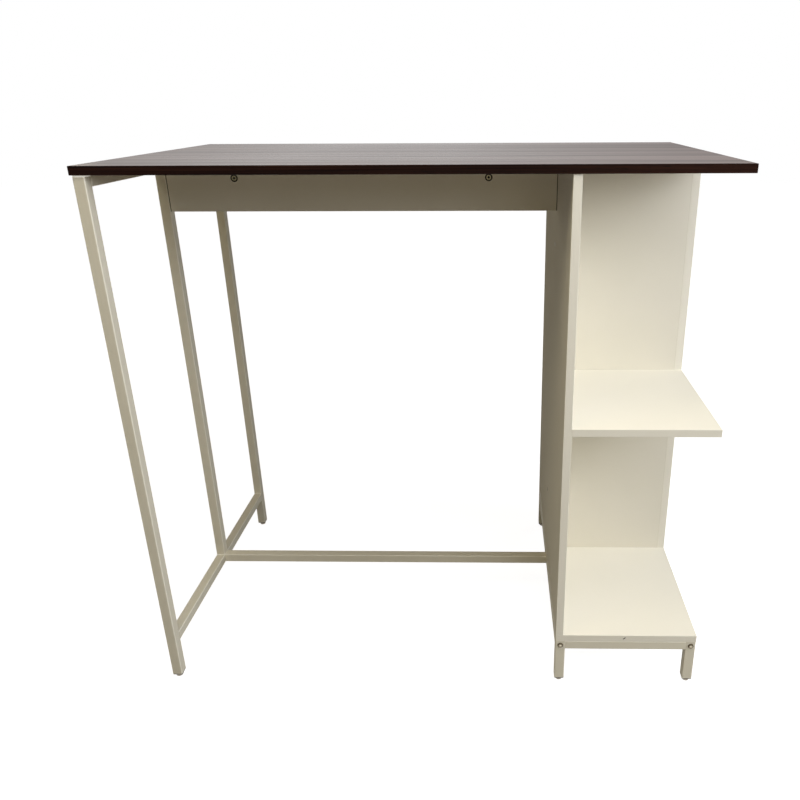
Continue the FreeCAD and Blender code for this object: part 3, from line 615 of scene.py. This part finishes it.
def threadedStud(node, body):
    # a screw thread as one surface: the radius at an angle and a height is the outer radius less a depth
    # times a trapezium wave of (height / pitch - angle / full turn), and it narrows over both end chamfers.
    # The wave is steepness times a triangle from 0 to 1, less the crest, held between 0 and 1
    look = threadLook
    low, high = boxMm(node)
    middle = (low + high) / 2
    outer = (high[0] - low[0]) / 2
    length = high[2] - low[2]
    rows = int(length / look["pitch"] * look["rowsPerPitch"]) + 1
    height, turn = np.meshgrid(np.linspace(0, length, rows), np.arange(look["columns"]) / look["columns"],
                               indexing="ij")
    phase = (height / look["pitch"] - turn) % 1
    cut = np.clip(look["steepness"] * (1 - np.abs(2 * phase - 1)) - look["crest"], 0, 1)
    fromEnd = np.minimum(height, length - height)
    radius = outer - look["depth"] * np.maximum(cut, 1 - np.clip(fromEnd / look["chamfer"], 0, 1))
    points = np.stack([middle[0] + radius * np.cos(2 * np.pi * turn), middle[1] + radius * np.sin(2 * np.pi * turn),
                       low[2] + height], axis=-1).reshape(-1, 3) * metre
    piece = meshPiece(node + "_thread", points, gridFaces(rows, look["columns"]), zincSteel, body)
    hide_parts(node)


feet = [node[len("glide_stud_"):] for node in solids if node.startswith("glide_stud_")]
for foot in sorted(feet):
    threadedStud("glide_stud_" + foot, "levelling_foot_" + foot)
print("threaded studs:", len(feet))


floorLook = {
    "colour": "#a3a19d", "fibre": "#9f9d99", "fibreSize": 400.0, "roughness": 0.95,
    "reach": 9000.0, "below": 0.2, "cells": 12,
    "liftNear": 0.94, "liftFar": 1.0, "nearReach": 1000.0, "farReach": 3200.0,  # how far it is lifted to white
}


def pureRayShare(tree):
    # 1 for what the camera sees directly, in a mirror or through glass, else 0
    path = addNode(tree, "ShaderNodeLightPath")
    seen = addNode(tree, "ShaderNodeMath", {"operation": "MAXIMUM"}, {
        0: path.outputs["Is Camera Ray"], 1: path.outputs["Is Glossy Ray"]})
    return addNode(tree, "ShaderNodeMath", {"operation": "MAXIMUM"}, {
        0: seen.outputs[0], 1: path.outputs["Is Transmission Ray"]}).outputs[0]


def floorFinish():
    # matt studio paper, light grey so that little light comes back up from it, and lifted to white where the
    # camera or a mirror sees it: fully so far out, a little less near the object, whose shadow stays
    finish = emptyFinish("studioPaper")
    tree = finish.node_tree
    place = addNode(tree, "ShaderNodeTexCoord").outputs["Object"]
    fibre = addNode(tree, "ShaderNodeTexNoise", {}, {
        "Vector": place, "Scale": perMetre(floorLook["fibreSize"]), "Detail": 2.0})
    colour = addNode(tree, "ShaderNodeMix", {"data_type": "RGBA"}, {
        0: fibre.outputs[0], 6: toLinear(floorLook["colour"]), 7: toLinear(floorLook["fibre"])})
    away = addNode(tree, "ShaderNodeVectorMath", {"operation": "LENGTH"}, {0: place})
    byDistance = addNode(tree, "ShaderNodeMapRange", {"interpolation_type": "SMOOTHSTEP"}, {
        "Value": away.outputs["Value"], "From Min": floorLook["nearReach"] * metre,
        "From Max": floorLook["farReach"] * metre, "To Min": floorLook["liftNear"], "To Max": floorLook["liftFar"]})
    lift = addNode(tree, "ShaderNodeMath", {"operation": "MULTIPLY"}, {
        0: pureRayShare(tree), 1: byDistance.outputs[0]})
    shader = addNode(tree, "ShaderNodeBsdfPrincipled", {}, {
        "Base Color": colour.outputs[2], "Roughness": floorLook["roughness"], "Specular IOR Level": 0.0,
        "Emission Color": (1.0, 1.0, 1.0, 1.0), "Emission Strength": lift.outputs[0]})
    addNode(tree, "ShaderNodeOutputMaterial", {}, {"Surface": shader.outputs[0]})
    return finish


# the floor is a flat square grid, just below the feet
cells = floorLook["cells"]
steps = np.linspace(-floorLook["reach"] * metre, floorLook["reach"] * metre, cells + 1)
gridX, gridY = np.meshgrid(steps, steps, indexing="ij")
floorPoints = np.stack([gridX, gridY, np.full_like(gridX, -floorLook["below"] * metre)], axis=-1).reshape(-1, 3)
row, column = np.meshgrid(np.arange(cells), np.arange(cells), indexing="ij")
corner = (row * (cells + 1) + column).ravel()
floorFaces = np.stack([corner, corner + cells + 1, corner + cells + 2, corner + 1], axis=-1).tolist()
floor = meshPiece("studio_floor", floorPoints, floorFaces, floorFinish(), None, smooth=False)

roomLook = {"fill": 0.045, "fillColour": "#ffdc80", "seen": 1.0}  # warm light of the room; white where it is seen
room = bpy.data.worlds.new("studioRoom")
bpy.context.scene.world = room
room.use_nodes = True
room.node_tree.nodes.clear()
seenShare = pureRayShare(room.node_tree)
strength = addNode(room.node_tree, "ShaderNodeMapRange", {}, {
    "Value": seenShare, "To Min": roomLook["fill"], "To Max": roomLook["seen"]})
tint = addNode(room.node_tree, "ShaderNodeMix", {"data_type": "RGBA"}, {
    0: seenShare, 6: toLinear(roomLook["fillColour"]), 7: (1.0, 1.0, 1.0, 1.0)})
sky = addNode(room.node_tree, "ShaderNodeBackground", {}, {
    "Color": tint.outputs[2], "Strength": strength.outputs[0]})
addNode(room.node_tree, "ShaderNodeOutputWorld", {}, {"Surface": sky.outputs[0]})

lamps = {  # place, width and height, watts, colour; each is aimed at the middle of the table
    "rightFarHigh": {"place": (2200, -600, 1700), "size": (1300, 1300), "watts": 41.6, "colour": "#f6f9ff"},
    "rightFront": {"place": (1400, -1200, 2300), "size": (1300, 1300), "watts": 5.0, "colour": "#f8faff"},
    "frontCentreHigh": {"place": (200, -1800, 2500), "size": (1300, 1300), "watts": 7.3, "colour": "#f6f9ff"},
    "overFront": {"place": (350, -800, 3000), "size": (900, 900), "watts": 4.7, "colour": "#f6f9ff"},
    "frontRight": {"place": (1100, -2300, 2000), "size": (1300, 1300), "watts": 15.4, "colour": "#f8faff"},
    "frontLow": {"place": (300, -2600, 600), "size": (1300, 1300), "watts": 3.4, "colour": "#ffedc2"},
    "leftOver": {"place": (-600, -900, 2600), "size": (1300, 1300), "watts": 16.5, "colour": "#fff2cf"},
    "rearRightLow": {"place": (2300, 1700, 800), "size": (1300, 1300), "watts": 12.3, "colour": "#f6f9ff"},
    "rearLeftLow": {"place": (-2300, 1700, 800), "size": (1300, 1300), "watts": 5.0, "colour": "#fff0cc"},
}
lampAim = (100, 0, 500)


def turnTo(place, aim):
    # a rotation whose -Z axis runs from place to aim and whose X axis is level
    ahead = np.array(aim, float) - np.array(place, float)
    ahead /= np.linalg.norm(ahead)
    side = np.cross(ahead, (0.0, 0.0, 1.0))
    side = side / np.linalg.norm(side) if np.linalg.norm(side) > 1e-6 else np.array((1.0, 0.0, 0.0))
    return np.stack([side, np.cross(side, ahead), -ahead], axis=1)


def placed(thing, axes, place):
    matrix = np.eye(4)
    matrix[:3, :3] = axes
    matrix[:3, 3] = np.array(place, float) * metre
    thing.matrix_world = Matrix(matrix.tolist())


for name, lamp in lamps.items():
    light = bpy.data.lights.new(name, "AREA")
    light.shape = "RECTANGLE"
    light.size, light.size_y = (side * metre for side in lamp["size"])
    light.energy = lamp["watts"]
    light.color = toLinear(lamp["colour"])[:3]
    lightObject = bpy.data.objects.new(name, light)
    bpy.context.scene.collection.objects.link(lightObject)
    placed(lightObject, turnTo(lamp["place"], lampAim), lamp["place"])

cameraLook = {
    "place": (136.46, -1457.75, 1145.41), "yaw": -1.050, "pitch": 20.595, "roll": 0.301,  # degrees
    "focal": 706.4, "centreX": 483.63, "centreY": 365.46, "frameWidth": 800,             # pixels
    "sensorWidth": 36.0, "clipEnd": 60000.0,
}
yaw, pitch, roll = (np.radians(cameraLook[turn]) for turn in ("yaw", "pitch", "roll"))
ahead = np.array((np.sin(yaw) * np.cos(pitch), np.cos(yaw) * np.cos(pitch), -np.sin(pitch)))
level = np.array((np.cos(yaw), -np.sin(yaw), 0.0))
below = np.cross(ahead, level)
side = np.cos(roll) * level + np.sin(roll) * below
below = np.cos(roll) * below - np.sin(roll) * level
camera = bpy.data.cameras.new("camera")
camera.sensor_width = cameraLook["sensorWidth"]
camera.lens = cameraLook["focal"] / cameraLook["frameWidth"] * camera.sensor_width
camera.shift_x = 0.5 - cameraLook["centreX"] / cameraLook["frameWidth"]
camera.shift_y = cameraLook["centreY"] / cameraLook["frameWidth"] - 0.5
camera.clip_end = cameraLook["clipEnd"] * metre
cameraObject = bpy.data.objects.new("camera", camera)
bpy.context.scene.collection.objects.link(cameraObject)
placed(cameraObject, np.stack([side, -below, -ahead], axis=1), cameraLook["place"])
bpy.context.scene.camera = cameraObject
bpy.context.scene.view_settings.view_transform = "Standard"
print("floor, lamps and camera set")

bpy.context.view_layer.update()
